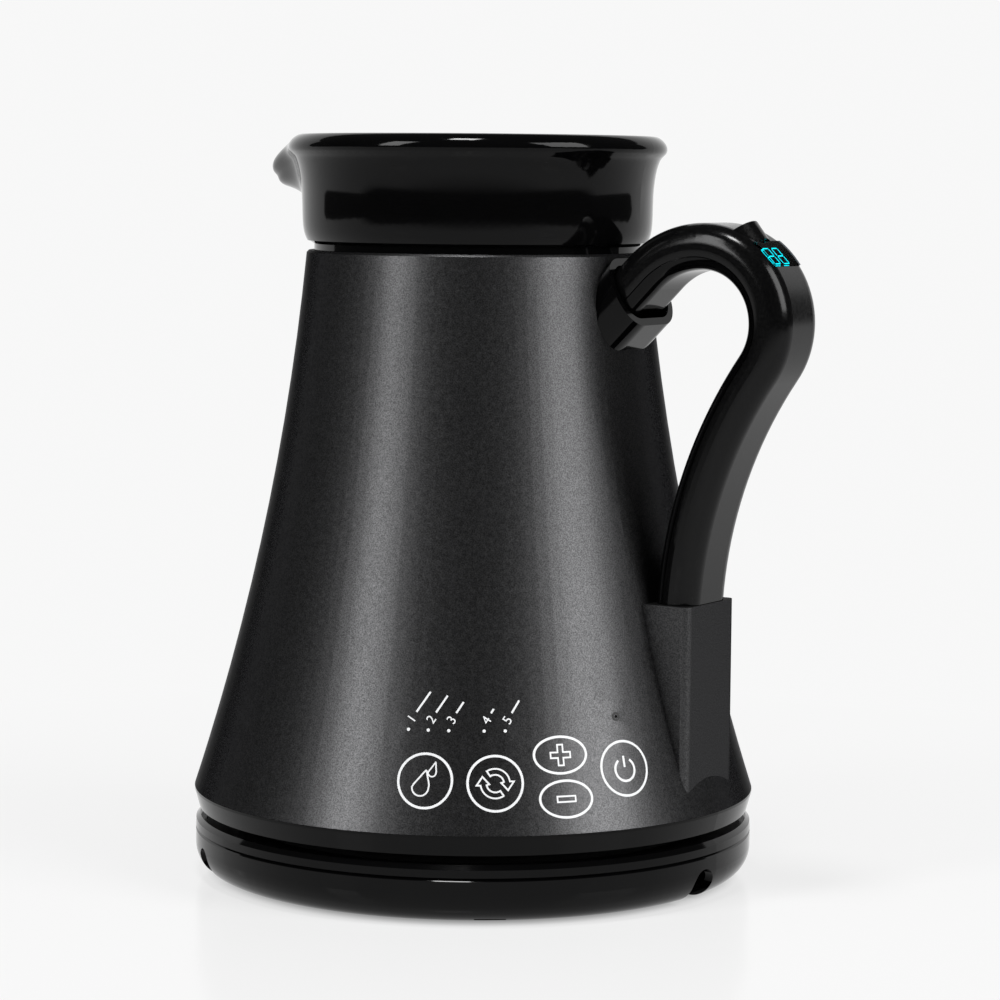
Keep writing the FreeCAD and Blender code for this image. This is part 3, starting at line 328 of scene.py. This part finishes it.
shell_tree = BVHTree.FromPolygons(
    [v.co.copy() for v in nodes["body_shell"].data.vertices],
    [tuple(p.vertices) for p in nodes["body_shell"].data.polygons],
)


def on_flank(azimuth, height, across, up):
    """Point on the shell at an offset in millimetres from a place given by azimuth and height."""
    z = height + up * math.cos(flank_tilt(height))
    angle = math.radians(azimuth) + across / flank_radius(z)
    outward = Vector((math.cos(angle), math.sin(angle), 0))
    start = outward * OUTSIDE + Vector((0, 0, z * MM))
    hit = shell_tree.ray_cast(start, -outward)[0]
    radius = max(Vector((hit.x, hit.y)).length, flank_radius(z) * MM) + INK_PROUD * MM
    return outward * radius + Vector((0, 0, z * MM))


def ink_mesh(name, azimuth, height, flat_faces, material):
    """Printed mark: flat faces in (across, up) millimetres laid on the shell."""
    shape = bmesh.new()
    seen = {}

    def vertex(point):
        key = (round(point[0], 4), round(point[1], 4))
        if key not in seen:
            seen[key] = shape.verts.new(on_flank(azimuth, height, *point))
        return seen[key]

    for face in flat_faces:
        corners = [vertex(p) for p in face]
        if len(set(corners)) == len(corners):
            try:
                shape.faces.new(corners)
            except ValueError:
                pass
    bmesh.ops.recalc_face_normals(shape, faces=shape.faces)
    mesh = bpy.data.meshes.new(name)
    shape.to_mesh(mesh)
    shape.free()
    mark = bpy.data.objects.new(name, mesh)
    bpy.context.scene.collection.objects.link(mark)
    mesh.materials.append(material)
    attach(mark, "jug")
    return mark


def fine(points, closed):
    """The same line with no run longer than the step that lies close to the round shell."""
    run = []
    count = len(points)
    for i in range(count if closed else count - 1):
        a, b = points[i], points[(i + 1) % count]
        parts = max(1, math.ceil(math.hypot(b[0] - a[0], b[1] - a[1]) / LONGEST_RUN))
        dx, dy = b[0] - a[0], b[1] - a[1]
        run += [(a[0] + dx * k / parts, a[1] + dy * k / parts) for k in range(parts)]
    return run if closed else run + [points[-1]]


def band(points, width, closed=False):
    """Strip of faces along a line of flat points, mitred at its corners."""
    points = fine(points, closed)
    count = len(points)
    sides = []
    for i, (x, y) in enumerate(points):
        normals = []
        for first, second in ((i - 1, i), (i, i + 1)):
            if closed or (first >= 0 and second < count):
                a, b = points[first % count], points[second % count]
                length = math.hypot(b[0] - a[0], b[1] - a[1])
                normals.append(((a[1] - b[1]) / length, (b[0] - a[0]) / length))
        nx = sum(n[0] for n in normals)
        ny = sum(n[1] for n in normals)
        size = math.hypot(nx, ny)
        nx, ny = nx / size, ny / size
        reach = width / 2 / max(0.4, nx * normals[0][0] + ny * normals[0][1])
        sides.append(((x + nx * reach, y + ny * reach), (x - nx * reach, y - ny * reach)))
    faces = []
    for i in range(count if closed else count - 1):
        a, b = sides[i], sides[(i + 1) % count]
        faces.append((a[0], a[1], b[1], b[0]))
    return faces


def ellipse(a, b, start=0.0, end=360.0, steps=96, centre=(0.0, 0.0)):
    """Points along an ellipse's arc, both ends included."""
    points = []
    for k in range(steps + 1):
        t = math.radians(start + (end - start) * k / steps)
        points.append((centre[0] + a * math.cos(t), centre[1] + b * math.sin(t)))
    return points


def closed_band(points, width):
    """Band along a full ellipse, whose last point repeats its first."""
    return band(points[:-1], width, closed=True)


def drop_outline(x, y, radius, height, lean, steps=40):
    """Water drop: a round foot drawn up to a leaning tip."""
    points = []
    for k in range(steps):
        t = 2 * math.pi * k / steps
        pinch = max(0.0, math.sin(t)) ** 4
        px = radius * math.cos(t) * (1 - pinch * 0.5)
        py = radius * math.sin(t) + pinch * (height - radius)
        points.append((x + px + lean * max(0.0, py), y + py))
    return points


# Signs on the keys, in millimetres and degrees
LINE = 0.62
THIN_LINE = 0.42
RING = 6.9
DROPS_RING = 6.8
OVAL_HALF_HEIGHT = 4.6

BIG_DROP = (-1.1, -1.7, 2.1, 4.3)
BIG_DROP_LINE = 0.4
SMALL_DROP = (1.7, 2.1, 1.0, 2.6)
SMALL_DROP_LINE = 0.36
DROP_LEAN = 0.3

ARROW_OUTER, ARROW_INNER = 3.7, 2.2
ARROW_TAIL = 124
ARROW_OUTER_END, ARROW_INNER_END = 8, 10
HEAD_OUTER, HEAD_INNER, HEAD_ANGLE = 4.7, 1.5, 6
TIP_RADIUS, TIP_ANGLE = 3.6, -28

CROSS_ARM, BAR_ARM, ARM_HALF_WIDTH = 2.6, 2.4, 0.7

STANDBY_RADIUS = 2.9
STANDBY_START, STANDBY_END = 125, 415
STANDBY_DROP = 0.3
STANDBY_BAR = (0.3, 1.6, 3.2)


def two_drops():
    """A big and a small drop in a ring."""
    faces = closed_band(ellipse(DROPS_RING, DROPS_RING), LINE)
    faces += band(drop_outline(*BIG_DROP, DROP_LEAN), BIG_DROP_LINE, closed=True)
    faces += band(drop_outline(*SMALL_DROP, DROP_LEAN), SMALL_DROP_LINE, closed=True)
    return faces


def turning_arrows():
    """Two outlined arrows that chase each other round the ring."""
    faces = closed_band(ellipse(RING, RING), LINE)
    for turn in (0, 180):
        tail = turn + ARROW_TAIL
        outline = ellipse(ARROW_OUTER, ARROW_OUTER, tail, turn + ARROW_OUTER_END, 20)
        angle = math.radians(turn + HEAD_ANGLE)
        ux, uy = math.cos(angle), math.sin(angle)
        tip_angle = math.radians(turn + TIP_ANGLE)
        tip = (TIP_RADIUS * math.cos(tip_angle), TIP_RADIUS * math.sin(tip_angle))
        outline += [(HEAD_OUTER * ux, HEAD_OUTER * uy), tip, (HEAD_INNER * ux, HEAD_INNER * uy)]
        outline += reversed(ellipse(ARROW_INNER, ARROW_INNER, tail, turn + ARROW_INNER_END, 16))
        faces += band(outline, THIN_LINE, closed=True)
    return faces


def key_oval(upright):
    """Oval with an outlined plus, or a minus where it has no upright arm."""
    faces = closed_band(ellipse(RING, OVAL_HALF_HEIGHT), LINE)
    arm, half = CROSS_ARM, ARM_HALF_WIDTH
    if upright:
        outline = [
            (-arm, -half), (-half, -half), (-half, -arm), (half, -arm), (half, -half), (arm, -half),
            (arm, half), (half, half), (half, arm), (-half, arm), (-half, half), (-arm, half),
        ]
    else:
        outline = [(-BAR_ARM, -half), (BAR_ARM, -half), (BAR_ARM, half), (-BAR_ARM, half)]
    faces += band(outline, THIN_LINE, closed=True)
    return faces


def start_ring():
    """Ring with the common standby sign: a broken circle and a bar."""
    faces = closed_band(ellipse(RING, RING), LINE)
    radius, low = STANDBY_RADIUS, (0.0, -STANDBY_DROP)
    faces += band(ellipse(radius, radius, STANDBY_START, STANDBY_END, 48, low), LINE)
    faces += band([(0.0, y) for y in STANDBY_BAR], LINE)
    return faces


def spot(radius, steps=20):
    """Round dot."""
    rim = ellipse(radius, radius, steps=steps)[:-1]
    return [(rim[k], rim[(k + 1) % steps], (0.0, 0.0)) for k in range(steps)]


def numeral(text, size, slant, start):
    """Outline numeral laid along a slanted line, as flat faces."""
    curve = bpy.data.curves.new("numeral", "FONT")
    curve.body = text
    curve.size = size
    holder = bpy.data.objects.new("numeral", curve)
    mesh = bpy.data.meshes.new_from_object(holder)
    c, s = math.cos(slant), math.sin(slant)
    faces = []
    for polygon in mesh.polygons:
        corners = [mesh.vertices[i].co for i in polygon.vertices]
        faces.append(
            tuple((start[0] + p.x * c - p.y * s, start[1] + p.x * s + p.y * c) for p in corners)
        )
    bpy.data.objects.remove(holder)
    bpy.data.curves.remove(curve)
    bpy.data.meshes.remove(mesh)
    return faces


# Places on the flank: azimuth in degrees, height in millimetres
KEY_SIGNS = (
    ("mark_drops", -67.4, 36.5, two_drops()),
    ("mark_arrows", -53.2, 36.1, turning_arrows()),
    ("mark_plus", -39.3, 42.5, key_oval(True)),
    ("mark_minus", -38.8, 31.9, key_oval(False)),
    ("mark_start", -24.8, 38.1, start_ring()),
)
DOT_AZIMUTHS = (-71.6, -67.3, -62.9, -55.4, -50.9)
DOT_HEIGHT = 48.7
DOT_RADIUS = 0.42
LABEL_SLANT = math.radians(58.0)
LABEL_RUNS = (9.0, 8.0, 6.2, 4.2, 6.6)
LABEL_FOOT = (0.2, 2.0)
LABEL_BAR_START = 2.9
LABEL_LINE = 0.5
NUMERAL_FOOT = (1.1, 1.4)
NUMERAL_SIZE = 3.4
STATUS_LAMP = (-25.1, 50.8)
STATUS_RADIUS = 0.85
STATUS_LINE = 0.6


def make_marks():
    """Printed signs, dots and labels, and painted shade: a dark ring standing for the status lamp's
    small hole.
    """
    ink = white_ink("white_ink")
    for name, azimuth, height, faces in KEY_SIGNS:
        ink_mesh(name, azimuth, height, faces, ink)
    c, s = math.cos(LABEL_SLANT), math.sin(LABEL_SLANT)
    for number, (azimuth, run) in enumerate(zip(DOT_AZIMUTHS, LABEL_RUNS), 1):
        dot = ink_mesh(f"mark_dot_{number}", azimuth, DOT_HEIGHT, spot(DOT_RADIUS), ink)
        faces = numeral(str(number), NUMERAL_SIZE, LABEL_SLANT, NUMERAL_FOOT)
        bar = (LABEL_BAR_START, run * 0.7, run)
        faces += band([(LABEL_FOOT[0] + t * c, LABEL_FOOT[1] + t * s) for t in bar], LABEL_LINE)
        label = ink_mesh(f"mark_label_{number}", azimuth, DOT_HEIGHT, faces, ink)
    # Painted shade: a near-black ring laid on the shell where the status lamp's small hole is in
    # shade
    rim = finish_of("painted_lamp_hole_shade", (0.004, 0.004, 0.004), 0.5)
    faces = closed_band(ellipse(STATUS_RADIUS, STATUS_RADIUS, steps=32), STATUS_LINE)
    ink_mesh("status_lamp_painted_shade", *STATUS_LAMP, faces, rim)


# Digits in the handle's display

SEGMENTS = (
    ((-1, 2), (1, 2)),
    ((1, 2), (1, 0)),
    ((1, 0), (1, -2)),
    ((-1, -2), (1, -2)),
    ((-1, 0), (-1, -2)),
    ((-1, 2), (-1, 0)),
    ((-1, 0), (1, 0)),
)
DIGIT_CENTRES = (-1.7, 3.1)
DIGIT_LIFT = 0.06
DIGIT_HALF_WIDTH = 1.55
DIGIT_HALF_STEP = 1.3
SEGMENT_THICKNESS = 0.34
SEGMENT_GAP = 0.12
DIGIT_COLOUR = (0.0, 0.78, 0.84)
DIGIT_STRENGTH = 16.0


def display_point(across, up):
    """Point on the digit module's face: across along +Y, up towards the jug."""
    angle = math.radians(DISPLAY_ANGLE)
    radial = Vector((math.sin(angle), 0, math.cos(angle)))
    toward_jug = Vector((-math.cos(angle), 0, math.sin(angle)))
    centre = Vector((APEX_X, 0, APEX_Z - ARC_RADIUS))
    face = centre + radial * (DISPLAY_TOP + DIGIT_LIFT)
    return (face + toward_jug * up + Vector((0, across, 0))) * MM


def make_digits():
    """Two lit digits, each of seven bars with pointed ends, under the window."""
    glow = lit("digit_glow", DIGIT_COLOUR, DIGIT_STRENGTH)
    shape = bmesh.new()
    half = SEGMENT_THICKNESS / 2
    for centre in DIGIT_CENTRES:
        for low, high in SEGMENTS:
            x0, y0 = centre + low[0] * DIGIT_HALF_WIDTH, low[1] * DIGIT_HALF_STEP
            x1, y1 = centre + high[0] * DIGIT_HALF_WIDTH, high[1] * DIGIT_HALF_STEP
            length = math.hypot(x1 - x0, y1 - y0)
            ux, uy = (x1 - x0) / length, (y1 - y0) / length
            near, far = SEGMENT_GAP, length - SEGMENT_GAP
            outline = (
                (near, 0), (near + half, half), (far - half, half),
                (far, 0), (far - half, -half), (near + half, -half),
            )
            corners = [(x0 + ux * t - uy * w, y0 + uy * t + ux * w) for t, w in outline]
            shape.faces.new([shape.verts.new(display_point(x, y)) for x, y in corners])
    bmesh.ops.recalc_face_normals(shape, faces=shape.faces)
    mesh = bpy.data.meshes.new("display_digits")
    shape.to_mesh(mesh)
    shape.free()
    mesh.materials.append(glow)
    digits = bpy.data.objects.new("display_digits", mesh)
    bpy.context.scene.collection.objects.link(digits)
    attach(digits, "jug")


# Stage and light

BACKGROUND = 0.935
FLOOR_HALF_WIDTH = 2.5
FLOOR_NEAR = -2.5
FLOOR_REACH = 1.6
WALL_HEIGHT = 1.6
WALL_CURVE = 0.5
CURVE_STEPS = 12
FLOOR_COLOUR = (0.8, 0.8, 0.8, 1)
FLOOR_ROUGHNESS = 0.16

# Where the floor's own even white begins and is full, as distances from the object's middle
WHITE_FROM, WHITE_FULL = 0.09, 0.32
WHITE_NEAR_BASE = 0.74
BASE_EDGE_INNER, BASE_EDGE_OUTER = 0.06, 0.072
FRONT_FROM, FRONT_FULL = -0.6, -0.25

# Azimuth from the camera's own side and elevation in degrees, width and height in metres, watts
LAMPS = (
    ("left_box", -54, 31, 0.3, 0.9, 9.5),
    ("right_box", 56, 31, 0.6, 0.9, 14),
    ("top_box", -20, 76, 0.22, 0.22, 8),
)
LAMP_DISTANCE = 1.3
LAMP_TARGET = Vector((0, 0, 0.1))
WORLD_STRENGTH = 0.06


def combined(tree, operation, values):
    """One value out of several, taken together one after another."""
    total = values[0]
    for value in values[1:]:
        node = tree.nodes.new("ShaderNodeMath")
        node.operation = operation
        tree.links.new(total, node.inputs[0])
        tree.links.new(value, node.inputs[1])
        total = node.outputs[0]
    return total


def stage_material():
    """White floor that keeps the object's shadow near it and is evenly white further off."""
    material, tree, surface = shader("floor")
    surface.inputs["Base Color"].default_value = FLOOR_COLOUR
    surface.inputs["Roughness"].default_value = FLOOR_ROUGHNESS
    path = tree.nodes.new("ShaderNodeLightPath")
    rays = ("Is Camera Ray", "Is Glossy Ray", "Is Transmission Ray")
    seen = combined(tree, "MAXIMUM", [path.outputs[ray] for ray in rays])
    glow = tree.nodes.new("ShaderNodeEmission")
    glow.inputs["Color"].default_value = (1, 1, 1, 1)
    glow.inputs["Strength"].default_value = BACKGROUND
    place = tree.nodes.new("ShaderNodeNewGeometry")
    length = tree.nodes.new("ShaderNodeVectorMath")
    length.operation = "LENGTH"
    tree.links.new(place.outputs["Position"], length.inputs[0])
    distance = length.outputs["Value"]
    ahead = tree.nodes.new("ShaderNodeVectorMath")
    ahead.operation = "DOT_PRODUCT"
    ahead.inputs[1].default_value = from_view(0, 1, 0)
    tree.links.new(place.outputs["Position"], ahead.inputs[0])
    share = ranged(tree, distance, WHITE_NEAR_BASE, 1.0, WHITE_FROM, WHITE_FULL)
    outside = ranged(tree, distance, 0.0, 1.0, BASE_EDGE_INNER, BASE_EDGE_OUTER)
    behind = ranged(tree, ahead.outputs["Value"], 0.0, 1.0, FRONT_FROM, FRONT_FULL)
    mix = tree.nodes.new("ShaderNodeMixShader")
    white = combined(tree, "MULTIPLY", (seen, share, outside, behind))
    tree.links.new(white, mix.inputs["Fac"])
    tree.links.new(surface.outputs["BSDF"], mix.inputs[1])
    tree.links.new(glow.outputs["Emission"], mix.inputs[2])
    tree.links.new(mix.outputs["Shader"], tree.nodes["Material Output"].inputs["Surface"])
    return material


def make_stage():
    """Floor that sweeps up into a backdrop behind the object."""
    curve_start = FLOOR_REACH - WALL_CURVE
    profile = [(FLOOR_NEAR, 0.0), (0.0, 0.0), (curve_start, 0.0)]
    for k in range(1, CURVE_STEPS + 1):
        t = math.radians(90 * k / CURVE_STEPS)
        away = curve_start + WALL_CURVE * math.sin(t)
        profile.append((away, WALL_CURVE * (1 - math.cos(t))))
    profile.append((FLOOR_REACH, WALL_HEIGHT))
    verts = []
    for side in (-FLOOR_HALF_WIDTH, FLOOR_HALF_WIDTH):
        verts += [tuple(from_view(side, away, height)) for away, height in profile]
    count = len(profile)
    faces = [(k, k + 1, count + k + 1, count + k) for k in range(count - 1)]
    mesh = bpy.data.meshes.new("floor")
    mesh.from_pydata(verts, [], faces)
    for polygon in mesh.polygons:
        polygon.use_smooth = True
    floor = bpy.data.objects.new("floor", mesh)
    bpy.context.scene.collection.objects.link(floor)
    mesh.materials.append(stage_material())


def softbox(name, azimuth, elevation, width, height, power):
    """Area lamp aimed at the object's middle."""
    data = bpy.data.lights.new(name, "AREA")
    data.shape = "RECTANGLE"
    data.size = width
    data.size_y = height
    data.energy = power
    lamp = bpy.data.objects.new(name, data)
    a, e = math.radians(azimuth), math.radians(elevation)
    toward = from_view(math.sin(a) * math.cos(e), -math.cos(a) * math.cos(e), math.sin(e))
    lamp.location = LAMP_TARGET + toward * LAMP_DISTANCE
    lamp.rotation_mode = "QUATERNION"
    lamp.rotation_quaternion = toward.to_track_quat("Z", "Y")
    bpy.context.scene.collection.objects.link(lamp)


def make_light():
    for lamp in LAMPS:
        softbox(*lamp)
    world = bpy.data.worlds.new("world")
    world.use_nodes = True
    background = world.node_tree.nodes["Background"]
    background.inputs["Color"].default_value = (1, 1, 1, 1)
    background.inputs["Strength"].default_value = WORLD_STRENGTH
    bpy.context.scene.world = world


make_camera()
dress_nodes()
make_marks()
make_digits()
make_stage()
make_light()
bpy.context.scene.view_settings.view_transform = "Standard"
